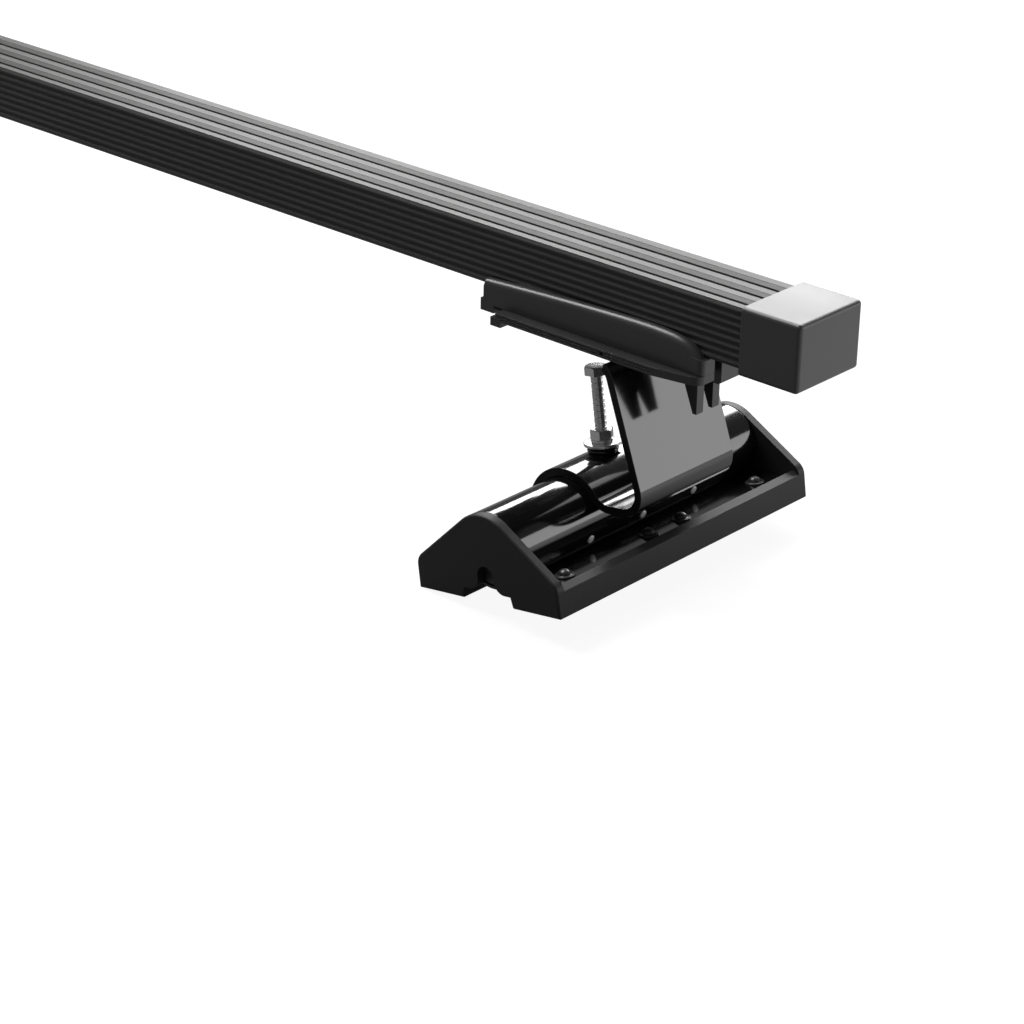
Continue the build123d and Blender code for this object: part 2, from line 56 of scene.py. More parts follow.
# Where the foot is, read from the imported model
swivel = Vector(next(j for j in frame["joints"] if j["name"] == "foot_tilt_right")["pos_m"])
sole = next(m for m in record["mounts"] if m["name"] == "sole_right")
footTilt = math.atan2(sole["axis"][0], -sole["axis"][2])
footFrame = Matrix.Translation(swivel) @ Matrix.Rotation(-footTilt, 4, "Y")
clampFrame = Matrix.Translation(swivel)


def turned(side):
    return Matrix.Rotation(sides[side], 4, "Z")


# Small helpers for meshes
def addObject(name, mesh):
    piece = bpy.data.objects.new(name, mesh)
    bpy.context.scene.collection.objects.link(piece)
    return piece


def smoothByAngle(mesh, degrees):
    mesh.polygons.foreach_set("use_smooth", [True] * len(mesh.polygons))
    mesh.set_sharp_from_angle(angle=math.radians(degrees))


def objectFrom(name, bm, smoothAngle=smoothAngles["plain"]):
    mesh = bpy.data.meshes.new(name)
    bmesh.ops.recalc_face_normals(bm, faces=bm.faces)
    bm.to_mesh(mesh)
    bm.free()
    smoothByAngle(mesh, smoothAngle)
    return addObject(name, mesh)


def addBevel(piece, width, segments=3, angle=30.0):
    bevel = piece.modifiers.new("softEdges", "BEVEL")
    bevel.width = width
    bevel.segments = segments
    bevel.limit_method = "ANGLE"
    bevel.angle_limit = math.radians(angle)
    bevel.harden_normals = True
    bevel.miter_outer = "MITER_ARC"


# Turns whatever modifiers the piece has into a plain mesh
def settle(piece):
    graph = bpy.context.evaluated_depsgraph_get()
    mesh = bpy.data.meshes.new_from_object(piece.evaluated_get(graph), depsgraph=graph)
    piece.modifiers.clear()
    old = piece.data
    piece.data = mesh
    mesh.name = piece.name
    if old.users == 0:
        bpy.data.meshes.remove(old)
    return piece


def giveFinish(piece, material):
    piece.data.materials.clear()
    piece.data.materials.append(material)


# Gives a piece its finish, unless it has its own, and its body, and hides the CAD nodes it stands for
def standFor(piece, body, slot, material, *nodes):
    if material:
        giveFinish(piece, material)
    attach(piece, body)
    if nodes:
        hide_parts(*nodes)


# Skins a row of loops that have the same number of points; the ends are capped, or joined
def skinLoops(loops, joined=False):
    bm = bmesh.new()
    rows = [[bm.verts.new(point) for point in loop] for loop in loops]
    pairs = list(zip(rows, rows[1:]))
    if joined:
        pairs.append((rows[-1], rows[0]))
    else:
        bm.faces.new(rows[0][::-1])
        bm.faces.new(rows[-1])
    for row, after in pairs:
        for i in range(len(row)):
            j = (i + 1) % len(row)
            bm.faces.new((row[i], row[j], after[j], after[i]))
    return bm


# A closed profile of (radius, height) points turned about Z; points on the axis become one
def lathe(profile, segments=64):
    turns = [2 * math.pi * i / segments for i in range(segments)]
    loops = [[(r * math.cos(a), r * math.sin(a), z) for a in turns] for r, z in profile]
    bm = skinLoops(loops, joined=True)
    bmesh.ops.remove_doubles(bm, verts=bm.verts, dist=1e-7)
    return bm


def circleArc(centre, radius, first, last, steps):
    angles = [math.radians(first + (last - first) * i / steps) for i in range(steps + 1)]
    return [(centre[0] + radius * math.cos(a), centre[1] + radius * math.sin(a)) for a in angles]


# A ring with chamfered inner and rounded outer edges
def ringProfile(inner, outer, low, high, edge, steps=4):
    return [
        (inner, low + edge), (inner + edge, low),
        *circleArc((outer - edge, low + edge), edge, -90, 0, steps),
        *circleArc((outer - edge, high - edge), edge, 0, 90, steps),
        (inner + edge, high), (inner, high - edge),
    ]


# Flat faces keep their true normals and only the rounded edges between them bend the light
def weighNormals(piece):
    weigh = piece.modifiers.new("trueNormals", "WEIGHTED_NORMAL")
    weigh.mode = "FACE_AREA"
    weigh.keep_sharp = True
    weigh.weight = 100
    return piece


# A copy of a CAD solid with its flat faces joined again and its edges softened
def softCopy(node, name, edge=0.0, weldGap=2e-6, flatAngle=1.0):
    bm = bmesh.new()
    bm.from_mesh(frame["nodes"][node].data)
    bmesh.ops.remove_doubles(bm, verts=bm.verts, dist=weldGap)
    bmesh.ops.dissolve_limit(bm, angle_limit=math.radians(flatAngle), verts=bm.verts, edges=bm.edges)
    piece = objectFrom(name, bm, smoothAngles["turned"])
    if edge:
        addBevel(piece, edge)
    weighNormals(piece)
    return settle(piece)


def moved(piece, matrix):
    piece.data.transform(matrix)
    piece.data.update()
    return piece


def addNode(tree, kind, **settings):
    node = tree.nodes.new(kind)
    for key, value in settings.items():
        setattr(node, key, value)
    return node


# A new geometry tree; an input is given by its socket type, or by a number where it is a size
def newTree(name, inputs):
    tree = bpy.data.node_groups.new(name, "GeometryNodeTree")
    for socket, kind in inputs.items():
        isSize = isinstance(kind, float)
        item = tree.interface.new_socket(
            socket, in_out="INPUT", socket_type="NodeSocketFloat" if isSize else kind
        )
        if isSize:
            item.default_value = kind
    tree.interface.new_socket("Finish", in_out="INPUT", socket_type="NodeSocketMaterial")
    tree.interface.new_socket("Result", in_out="OUTPUT", socket_type="NodeSocketGeometry")
    return tree, addNode(tree, "NodeGroupInput"), addNode(tree, "NodeGroupOutput")


# How every tree ends: copies made real, then the finish
def endTree(tree, shape, given, result):
    real = addNode(tree, "GeometryNodeRealizeInstances")
    paint = addNode(tree, "GeometryNodeSetMaterial")
    link = tree.links.new
    link(shape, real.inputs["Geometry"])
    link(real.outputs["Geometry"], paint.inputs["Geometry"])
    link(given.outputs["Finish"], paint.inputs["Material"])
    link(paint.outputs["Geometry"], result.inputs["Result"])
    return tree


# One part set on every given point, turned alike
def buildRepeater():
    tree, given, result = newTree("repeatOnPoints", {
        "Points": "NodeSocketGeometry", "Part": "NodeSocketObject", "Turn": "NodeSocketRotation",
    })
    points = addNode(tree, "GeometryNodeMeshToPoints")
    part = addNode(tree, "GeometryNodeObjectInfo")
    copies = addNode(tree, "GeometryNodeInstanceOnPoints")
    link = tree.links.new
    link(given.outputs["Points"], points.inputs["Mesh"])
    link(given.outputs["Part"], part.inputs["Object"])
    link(points.outputs["Points"], copies.inputs["Points"])
    link(part.outputs["Geometry"], copies.inputs["Instance"])
    link(given.outputs["Turn"], copies.inputs["Rotation"])
    return endTree(tree, copies.outputs["Instances"], given, result)


# A round thread: a ridge that climbs a rod
def buildThread():
    tree, given, result = newTree("screwThread", {
        "Core": "NodeSocketGeometry", "Radius": 0.0029, "Pitch": 0.001, "Length": 0.05, "Ridge": 0.0004,
    })
    turns = addNode(tree, "ShaderNodeMath", operation="DIVIDE")
    spiral = addNode(tree, "GeometryNodeCurveSpiral")
    spiral.inputs["Resolution"].default_value = 28
    ridge = addNode(tree, "GeometryNodeCurvePrimitiveCircle")
    ridge.inputs["Resolution"].default_value = 6
    sweep = addNode(tree, "GeometryNodeCurveToMesh")
    sweep.inputs["Fill Caps"].default_value = True
    join = addNode(tree, "GeometryNodeJoinGeometry")
    link = tree.links.new
    link(given.outputs["Length"], turns.inputs[0])
    link(given.outputs["Pitch"], turns.inputs[1])
    link(turns.outputs["Value"], spiral.inputs["Rotations"])
    link(given.outputs["Radius"], spiral.inputs["Start Radius"])
    link(given.outputs["Radius"], spiral.inputs["End Radius"])
    link(given.outputs["Length"], spiral.inputs["Height"])
    link(given.outputs["Ridge"], ridge.inputs["Radius"])
    link(spiral.outputs["Curve"], sweep.inputs["Curve"])
    link(ridge.outputs["Curve"], sweep.inputs["Profile Curve"])
    link(sweep.outputs["Mesh"], join.inputs["Geometry"])
    link(given.outputs["Core"], join.inputs["Geometry"])
    return endTree(tree, join.outputs["Geometry"], given, result)


# A flat face drawn out along X
def buildExtrusion():
    tree, given, result = newTree("drawnAlongX", {"Face": "NodeSocketGeometry", "Length": 1.0})
    offset = addNode(tree, "ShaderNodeCombineXYZ")
    pull = addNode(tree, "GeometryNodeExtrudeMesh")
    pull.inputs["Individual"].default_value = False
    back = addNode(tree, "GeometryNodeFlipFaces")
    join = addNode(tree, "GeometryNodeJoinGeometry")
    weld = addNode(tree, "GeometryNodeMergeByDistance")
    weld.inputs["Distance"].default_value = 1e-6
    link = tree.links.new
    link(given.outputs["Length"], offset.inputs["X"])
    link(given.outputs["Face"], pull.inputs["Mesh"])
    link(offset.outputs["Vector"], pull.inputs["Offset"])
    link(given.outputs["Face"], back.inputs["Mesh"])
    link(pull.outputs["Mesh"], join.inputs["Geometry"])
    link(back.outputs["Mesh"], join.inputs["Geometry"])
    link(join.outputs["Geometry"], weld.inputs["Geometry"])
    return endTree(tree, weld.outputs["Geometry"], given, result)


# Runs a node tree on a piece and keeps the mesh that comes out, with its finish in the only slot
def runTree(piece, tree, values, smoothAngle):
    modifier = piece.modifiers.new(tree.name, "NODES")
    modifier.node_group = tree
    for item in tree.interface.items_tree:
        if item.item_type == "SOCKET" and item.in_out == "INPUT" and item.name in values:
            modifier[item.identifier] = values[item.name]
    settle(piece)
    giveFinish(piece, values["Finish"])
    piece.data.polygons.foreach_set("material_index", [0] * len(piece.data.polygons))
    smoothByAngle(piece.data, smoothAngle)


repeater, threadTree, extrusion = buildRepeater(), buildThread(), buildExtrusion()
print("helpers ready")


# Shader groups shared by the finishes
def newGroup(name, inputs, outputs):
    group = bpy.data.node_groups.new(name, "ShaderNodeTree")
    for socket, value in inputs.items():
        item = group.interface.new_socket(socket, in_out="INPUT", socket_type="NodeSocketFloat")
        item.default_value = value
    for socket, kind in outputs.items():
        group.interface.new_socket(socket, in_out="OUTPUT", socket_type=kind)
    return group, addNode(group, "NodeGroupInput"), addNode(group, "NodeGroupOutput")


# Moulded or sprayed grain: a height and a slow drift of value, both from the object's own place
def buildGrainGroup():
    group, given, result = newGroup(
        "surfaceGrain",
        {"grainScale": 900.0, "driftScale": 14.0, "roughLow": 0.4, "roughHigh": 0.5},
        {"Height": "NodeSocketFloat", "Drift": "NodeSocketFloat", "Roughness": "NodeSocketFloat"},
    )
    place = addNode(group, "ShaderNodeTexCoord")
    grain = addNode(group, "ShaderNodeTexNoise")
    grain.inputs["Detail"].default_value = 3.0
    drift = addNode(group, "ShaderNodeTexNoise")
    drift.inputs["Detail"].default_value = 4.0
    drift.inputs["Roughness"].default_value = 0.6
    spread = addNode(group, "ShaderNodeMapRange")
    spread.inputs["From Min"].default_value = 0.3
    spread.inputs["From Max"].default_value = 0.7
    link = group.links.new
    link(place.outputs["Object"], grain.inputs["Vector"])
    link(place.outputs["Object"], drift.inputs["Vector"])
    link(given.outputs["grainScale"], grain.inputs["Scale"])
    link(given.outputs["driftScale"], drift.inputs["Scale"])
    link(drift.outputs["Fac"], spread.inputs["Value"])
    link(given.outputs["roughLow"], spread.inputs["To Min"])
    link(given.outputs["roughHigh"], spread.inputs["To Max"])
    link(grain.outputs["Fac"], result.inputs["Height"])
    link(drift.outputs["Fac"], result.inputs["Drift"])
    link(spread.outputs["Result"], result.inputs["Roughness"])
    return group


# Fine lines drawn along X, as an extruded plastic or a drawn bar has
def buildDrawnGroup():
    group, given, result = newGroup(
        "drawnLines", {"lineScale": 500.0, "stretch": 0.01}, {"Height": "NodeSocketFloat"}
    )
    place = addNode(group, "ShaderNodeTexCoord")
    squeeze = addNode(group, "ShaderNodeVectorMath", operation="MULTIPLY")
    joined = addNode(group, "ShaderNodeCombineXYZ")
    joined.inputs["Y"].default_value = 1.0
    joined.inputs["Z"].default_value = 1.0
    lines = addNode(group, "ShaderNodeTexNoise")
    lines.inputs["Detail"].default_value = 2.0
    link = group.links.new
    link(given.outputs["stretch"], joined.inputs["X"])
    link(place.outputs["Object"], squeeze.inputs[0])
    link(joined.outputs["Vector"], squeeze.inputs[1])
    link(squeeze.outputs["Vector"], lines.inputs["Vector"])
    link(given.outputs["lineScale"], lines.inputs["Scale"])
    link(lines.outputs["Fac"], result.inputs["Height"])
    return group


grainGroup = buildGrainGroup()
drawnGroup = buildDrawnGroup()

# Each finish drifts from color to colorTo; grain and drift are noise scales, and drawn is the
# strength of the fine lines along X
finishes = {
    "sleevePlastic": dict(
        color=(0.068, 0.067, 0.066), colorTo=(0.080, 0.078, 0.077), rough=(0.34, 0.42),
        grain=1400.0, drift=9.0, bump=0.08, depth=0.00003, drawn=0.15, shine=0.10,
    ),
    # A darker, less shiny copy of the sleeve plastic: painted shade on the flanks that slope down to each groove
    "sleeveFlank": dict(
        color=(0.046, 0.045, 0.044), colorTo=(0.056, 0.054, 0.053), rough=(0.38, 0.46),
        grain=1400.0, drift=9.0, bump=0.10, depth=0.00003, drawn=0.30, shine=0.06,
    ),
    "capPlastic": dict(
        color=(0.044, 0.044, 0.045), colorTo=(0.054, 0.054, 0.055), rough=(0.38, 0.46),
        grain=1500.0, drift=20.0, bump=0.20, depth=0.00004, shine=0.62,
    ),
    "clampPlastic": dict(
        color=(0.040, 0.040, 0.041), colorTo=(0.050, 0.050, 0.051), rough=(0.29, 0.36),
        grain=1500.0, drift=20.0, bump=0.12, depth=0.00003,
    ),
    "padRubber": dict(
        color=(0.018, 0.018, 0.020), colorTo=(0.025, 0.025, 0.027), rough=(0.44, 0.54),
        grain=1100.0, drift=16.0, bump=0.30, depth=0.00005, shine=0.32,
    ),
    "glossSteel": dict(
        color=(0.004, 0.004, 0.0045), colorTo=(0.006, 0.006, 0.0065), rough=(0.085, 0.125),
        grain=1500.0, drift=30.0, bump=0.03, depth=0.00001, ior=1.66,
    ),
    "cutEdge": dict(
        color=(0.006, 0.006, 0.006), colorTo=(0.010, 0.010, 0.010), rough=(0.30, 0.38),
        grain=900.0, drift=60.0, bump=0.05, depth=0.00001, shine=0.15,
    ),
    "rivetBlack": dict(
        color=(0.030, 0.030, 0.031), colorTo=(0.040, 0.040, 0.041), rough=(0.26, 0.34),
        grain=700.0, drift=90.0, bump=0.08, depth=0.00002,
    ),
    "railSteel": dict(
        color=(0.030, 0.030, 0.031), colorTo=(0.040, 0.040, 0.041), rough=(0.24, 0.34),
        grain=900.0, drift=25.0, bump=0.08, depth=0.00002, drawn=0.12,
    ),
    "coreSteel": dict(
        color=(0.03, 0.03, 0.03), colorTo=(0.04, 0.04, 0.04), rough=(0.35, 0.5),
        grain=800.0, drift=12.0, bump=0.1, depth=0.00003,
    ),
    "zinc": dict(
        color=(0.70, 0.70, 0.71), colorTo=(0.84, 0.83, 0.82), rough=(0.22, 0.32),
        grain=1200.0, drift=120.0, bump=0.05, depth=0.00001, metallic=0.75,
    ),
    # Pale steel pins, near-white and little metallic so they show bright even in shade: their own pale colour and
    # a painted highlight
    "pinSteel": dict(
        color=(0.86, 0.86, 0.85), colorTo=(0.94, 0.94, 0.93), rough=(0.35, 0.45),
        grain=1200.0, drift=120.0, bump=0.05, depth=0.00001, metallic=0.25,
    ),
}


def buildFinish(name, color, colorTo, rough, grain, drift, bump, depth,
                drawn=0.0, metallic=0.0, ior=1.5, shine=0.5):
    material = bpy.data.materials.new(name)
    material.use_nodes = True
    tree = material.node_tree
    shader = tree.nodes["Principled BSDF"]
    shader.inputs["Metallic"].default_value = metallic
    shader.inputs["IOR"].default_value = ior
    shader.inputs["Specular IOR Level"].default_value = shine
    surface = addNode(tree, "ShaderNodeGroup", node_tree=grainGroup)
    surface.inputs["grainScale"].default_value = grain
    surface.inputs["driftScale"].default_value = drift
    surface.inputs["roughLow"].default_value = rough[0]
    surface.inputs["roughHigh"].default_value = rough[1]
    tint = addNode(tree, "ShaderNodeMix", data_type="RGBA")
    tint.inputs["A"].default_value = (*color, 1.0)
    tint.inputs["B"].default_value = (*colorTo, 1.0)
    relief = addNode(tree, "ShaderNodeBump")
    relief.inputs["Strength"].default_value = bump
    relief.inputs["Distance"].default_value = depth
    link = tree.links.new
    link(surface.outputs["Drift"], tint.inputs["Factor"])
    link(tint.outputs["Result"], shader.inputs["Base Color"])
    link(surface.outputs["Roughness"], shader.inputs["Roughness"])
    link(surface.outputs["Height"], relief.inputs["Height"])
    if drawn:
        lines = addNode(tree, "ShaderNodeGroup", node_tree=drawnGroup)
        second = addNode(tree, "ShaderNodeBump")
        second.inputs["Strength"].default_value = drawn
        second.inputs["Distance"].default_value = depth
        link(lines.outputs["Height"], second.inputs["Height"])
        link(relief.outputs["Normal"], second.inputs["Normal"])
        relief = second
    link(relief.outputs["Normal"], shader.inputs["Normal"])
    return material


materials = {name: buildFinish(name, **values) for name, values in finishes.items()}
print("finishes ready:", len(materials))

# Every CAD node gets a finish, also those that another piece stands for
nodeFinishes = {
    "bar_core": "coreSteel", "slide_nut": "zinc", "rail_bolts": "zinc", "rail_washers": "zinc",
    "anchor_nut": "zinc", "bar_sleeve": "sleevePlastic", "end_cap": "capPlastic",
    "saddle": "clampPlastic", "rail": "railSteel", "bracket": "glossSteel", "foot_pad": "padRubber",
    "swivel_tube": "glossSteel", "outer_strip": "glossSteel", "inner_strip": "glossSteel",
    "outer_rivets": "rivetBlack", "inner_rivets": "rivetBlack", "tube_pins": "pinSteel",
    "tube_plugs": "clampPlastic", "swivel_bolt": "zinc", "lock_nut": "zinc", "wide_washer": "zinc",
    "saddle_washer": "glossSteel", "spring_washer": "zinc",
}
for nodeName, node in frame["nodes"].items():
    base = nodeName.removesuffix("_right").removesuffix("_left")
    giveFinish(node, materials[nodeFinishes[base]])


def slotOf(node):
    return next(part["material_slot"] for part in record["subparts"] if part["node"] == node)


# Ribbed sleeve: flat strips on top with a sloping flank down to each groove, round ribs on the sides
sleeve = dict(
    ribs=8, ribDepth=0.95 * mm, ribSteps=10, grooves=3, grooveMargin=6.0 * mm, groovePitch=11.3 * mm,
    grooveWidth=2.8 * mm, grooveDepth=1.8 * mm, farWallRun=0.2 * mm, flankRun=4.0 * mm,
    flankDepth=0.34 * mm, flankStep=0.12 * mm, flankFacing=0.95, stripDepth=0.05 * mm,
    slotWidth=7.2 * mm, wall=2.3 * mm, sideWall=2.5 * mm,
)


# The section of the sleeve at its left end: top, side, the slot below, and the other side
def sleeveOutline(low, high):
    middle = (low + high) / 2
    halfWidth, halfHeight = (high.y - low.y) / 2, (high.z - low.z) / 2
    valley = halfWidth - sleeve["ribDepth"]
    top = []
    step, bed = sleeve["flankStep"], halfHeight - sleeve["grooveDepth"]
    for i in range(sleeve["grooves"]):
        centre = -halfWidth + sleeve["grooveMargin"] + i * sleeve["groovePitch"]
        edge = centre + sleeve["grooveWidth"] / 2
        flankEnd = edge + sleeve["flankRun"]
        top += [
            (centre - sleeve["grooveWidth"] / 2, halfHeight), (centre, bed),
            (edge - sleeve["farWallRun"], bed), (edge, halfHeight - sleeve["flankDepth"]),
            (flankEnd, halfHeight - step), (flankEnd + step, halfHeight),
        ]
    flank = []
    pitch = 2 * halfHeight / sleeve["ribs"]
    for i in range(sleeve["ribs"]):
        for j in range(sleeve["ribSteps"]):
            share = j / sleeve["ribSteps"]
            bulge = sleeve["ribDepth"] * 0.5 * (1 - math.cos(2 * math.pi * share))
            flank.append((valley + bulge, halfHeight - (i + share) * pitch))
    flank.append((valley, -halfHeight))
    slot = sleeve["slotWidth"] / 2
    inside = halfWidth - sleeve["sideWall"]
    roof, floor = halfHeight - sleeve["wall"], sleeve["wall"] - halfHeight
    bottom = [(slot, -halfHeight), (slot, floor), (inside, floor), (inside, roof)]
    outline = top + flank + bottom
    outline += [(-y, z) for y, z in reversed(flank + bottom)]
    return [(low.x, middle.y + y, middle.z + z) for y, z in outline]


def buildSleeve():
    low, high = (Vector(corner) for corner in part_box("bar_sleeve"))
    bm = bmesh.new()
    bm.faces.new([bm.verts.new(point) for point in sleeveOutline(low, high)])
    piece = objectFrom("ribbedSleeve", bm)
    if piece.data.polygons[0].normal.x < 0:
        piece.data.flip_normals()
    values = {"Length": high.x - low.x, "Finish": materials["sleevePlastic"]}
    runTree(piece, extrusion, values, smoothAngles["sleeve"])
    # The sloping flanks beside the grooves get the darker copy of the sleeve plastic, as painted shade
    piece.data.materials.append(materials["sleeveFlank"])
    for face in piece.data.polygons:
        belowTop = high.z - face.center.z
        inFlankShade = sleeve["stripDepth"] < belowTop < sleeve["flankDepth"]
        if inFlankShade and face.normal.z > sleeve["flankFacing"]:
            face.material_index = 1
    standFor(piece, "bar", slotOf("bar_sleeve"), None, "bar_sleeve")


buildSleeve()
print("sleeve ready")


# Moulded end caps: a shell with rounded corners, open towards the bar
endCap = dict(
    cornerRadius=2.0 * mm, leastCorner=0.2 * mm, endRadius=2.2 * mm, mouthRound=0.5 * mm,
    pocketCorner=0.3 * mm, pocketGap=0.15 * mm, wall=3.0 * mm, cornerSteps=6, mouthSteps=4, endSteps=8,
)


# A rectangle with rounded corners, across the bar at x
def roundedLoop(x, halfWidth, halfHeight, radius, centre):
    loop = []
    steps = endCap["cornerSteps"]
    corners = [(1, 1, 0), (-1, 1, 90), (-1, -1, 180), (1, -1, 270)]
    for signY, signZ, first in corners:
        place = (signY * (halfWidth - radius), signZ * (halfHeight - radius))
        loop += circleArc(place, radius, first, first + 90, steps)
    return [(x, centre.y + y, centre.z + z) for y, z in loop]


def buildEndCap(side):
    node = "end_cap_" + side
    low, high = (Vector(corner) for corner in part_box("end_cap_right"))
    sleeveLow, sleeveHigh = (Vector(corner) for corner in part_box("bar_sleeve"))
    centre = (low + high) / 2
    halfWidth, halfHeight = (high.y - low.y) / 2, (high.z - low.z) / 2
    pocketWidth = (sleeveHigh.y - sleeveLow.y) / 2 + endCap["pocketGap"]
    pocketHeight = (sleeveHigh.z - sleeveLow.z) / 2 + endCap["pocketGap"]
    mouth, corner, end = endCap["mouthRound"], endCap["cornerRadius"], endCap["endRadius"]
    fine = endCap["pocketCorner"]
    loops = [
        roundedLoop(high.x - endCap["wall"], pocketWidth, pocketHeight, fine, centre),
        roundedLoop(low.x + mouth, pocketWidth, pocketHeight, fine, centre),
        roundedLoop(low.x, pocketWidth + mouth, pocketHeight + mouth, fine, centre),
    ]
    for x, inset in circleArc((low.x + mouth, -mouth), mouth, 180, 90, endCap["mouthSteps"]):
        loops.append(roundedLoop(x, halfWidth + inset, halfHeight + inset, corner, centre))
    for x, inset in circleArc((high.x - end, -end), end, 90, 0, endCap["endSteps"]):
        radius = max(corner + inset, endCap["leastCorner"])
        loops.append(roundedLoop(x, halfWidth + inset, halfHeight + inset, radius, centre))
    piece = objectFrom("moulded_" + node, skinLoops(loops), smoothAngles["turned"])
    settle(weighNormals(piece))
    moved(piece, turned(side))
    standFor(piece, "bar", slotOf(node), materials["capPlastic"], node)


for side in sides:
    buildEndCap(side)
print("end caps ready")


# Swivel bracket: one sheet walked round the tube, through a trough, up the plate and over;
# all of its angles are in degrees
bracket = dict(
    gauge=4.0 * mm, width=68.0 * mm, tabWidth=40.0 * mm, archRadius=19.25 * mm, archWrap=15.0,
    archLeave=57.3, bendRadius=8.0 * mm, troughRun=8.8 * mm, troughSlope=8.9, plateLean=20.4,
    lipRadius=6.0 * mm, lipTurn=47.0, rise=82.95 * mm, tabRun=44.0 * mm, step=2.5,
    edge=0.65 * mm, edgeSegments=3, edgeAngle=50.0, cutFacing=0.98,
    slotMiddle=-4.5 * mm, slotWidth=6.8 * mm, slotAngles=(79.0, 119.0),
)


def alongAngle(degrees):
    return Vector((math.cos(math.radians(degrees)), math.sin(math.radians(degrees))))


# Points of the sheet's middle with their headings; a bend is (radius, angle), a run (length, None)
def walkSheet(start, heading, steps):
    points = [(start, heading, 0)]
    point = Vector(start)
    for stage, (size, angle) in enumerate(steps):
        if angle is None:
            point = point + size * alongAngle(heading)
            points.append((point.copy(), heading, stage))
            continue
        sign = 1 if angle > 0 else -1
        radius = size + bracket["gauge"] / 2
        centre = point + radius * alongAngle(heading + 90 * sign)
        count = max(2, round(abs(angle) / bracket["step"]))
        for i in range(1, count + 1):
            turn = heading + angle * i / count
            point = centre + radius * alongAngle(turn - 90 * sign)
            points.append((point.copy(), turn, stage))
        heading += angle
    return points


# The whole sheet, with the plate just long enough for the tab to lie under the rail
def bracketWalk():
    middle = bracket["archRadius"] + bracket["gauge"] / 2
    first = 180 + bracket["archWrap"] + math.degrees(footTilt)
    archEnd = 90 - bracket["archLeave"] + bracket["troughSlope"]
    toPlate = [
        (bracket["archRadius"], archEnd - first),
        (bracket["bendRadius"], bracket["archLeave"]),
        (bracket["troughRun"], None),
        (bracket["bendRadius"], 90 - bracket["troughSlope"] + bracket["plateLean"]),
    ]
    start = alongAngle(first) * middle
    foot = walkSheet(start, first - 90, toPlate)[-1]
    lean = foot[1]
    lipMiddle = bracket["lipRadius"] + bracket["gauge"] / 2
    gain = lipMiddle * math.sin(math.radians(lean + 90)) + bracket["lipRadius"] + bracket["gauge"]
    plateRun = (bracket["rise"] - foot[0].y - gain) / math.cos(math.radians(bracket["plateLean"]))
    rest = [
        (plateRun, None), (bracket["lipRadius"], bracket["lipTurn"]),
        (bracket["lipRadius"], 180 - lean - bracket["lipTurn"]), (bracket["tabRun"], None),
    ]
    return walkSheet(start, first - 90, toPlate + rest)


def buildBracket(side):
    node = "bracket_" + side
    slot = [bracket["slotMiddle"] + sign * bracket["slotWidth"] / 2 for sign in (-1, 1)]
    wide, tab = bracket["width"] / 2, bracket["tabWidth"] / 2
    columns = [-wide, -tab, slot[0], slot[1], tab, wide]
    walk = bracketWalk()
    bm = bmesh.new()
    rows = [[bm.verts.new((p.x, y, p.y)) for y in columns] for p, _, _ in walk]
    tabStage = walk[-1][2] - 1
    for i in range(len(walk) - 1):
        stage = walk[i + 1][2]
        seat = (walk[i][0] + walk[i + 1][0]) / 2
        angle = math.degrees(math.atan2(seat.y, seat.x))
        overCrown = stage == 0 and bracket["slotAngles"][0] < angle < bracket["slotAngles"][1]
        for j in range(len(columns) - 1):
            beyondTab = stage >= tabStage and (j == 0 or j == len(columns) - 2)
            if beyondTab or (overCrown and j == 2):
                continue
            bm.faces.new((rows[i][j], rows[i][j + 1], rows[i + 1][j + 1], rows[i + 1][j]))
    bmesh.ops.delete(bm, geom=[v for v in bm.verts if not v.link_faces], context="VERTS")
    piece = objectFrom("swivel_" + node, bm, smoothAngles["sheet"])
    wall = piece.modifiers.new("sheet", "SOLIDIFY")
    wall.thickness = bracket["gauge"]
    wall.offset = 0.0
    wall.use_even_offset = True
    addBevel(piece, bracket["edge"], bracket["edgeSegments"], bracket["edgeAngle"])
    weighNormals(piece)
    settle(piece)
    giveFinish(piece, materials["glossSteel"])
    piece.data.materials.append(materials["cutEdge"])
    for face in piece.data.polygons:
        face.material_index = 1 if abs(face.normal.y) > bracket["cutFacing"] else 0
    moved(piece, turned(side) @ clampFrame)
    standFor(piece, "clamp_" + side, slotOf(node), None, node)


for side in sides:
    buildBracket(side)
print("brackets ready")


# Saddle and rail keep their solids' shapes, with softened edges
clampEdges = {"saddle": (0.35 * mm, "clampPlastic"), "rail": (0.25 * mm, "railSteel")}
for side in sides:
    for name, (edge, finish) in clampEdges.items():
        node = name + "_" + side
        piece = softCopy(node, "soft_" + node, edge)
        standFor(piece, "clamp_" + side, slotOf(node), materials[finish], node)


# Rounded ridge along the top of each saddle wall, rising and fuller towards the nose;
# its sizes are in millimetres from the middle of the swivel tube
ridge = dict(
    path=(  # along the bar, top, rounding, outer face
        (-62.5, 98.9, 3.2, 24.98), (-59.0, 99.1, 3.2, 24.98), (-30.0, 100.8, 3.3, 24.98),
        (0.0, 102.2, 3.5, 24.98), (27.0, 103.1, 3.8, 24.98), (41.0, 103.1, 4.0, 24.98),
        (51.5, 102.4, 4.1, 24.98), (58.0, 101.0, 4.1, 24.98), (63.0, 98.4, 4.2, 24.95),
        (66.2, 95.4, 3.0, 24.6), (68.2, 92.6, 0.4, 23.3),
    ),
    inside=20.3, bottom=92.0, insideRound=0.5, leastFlat=0.05, roundSteps=12, insideSteps=3, samples=80,
)


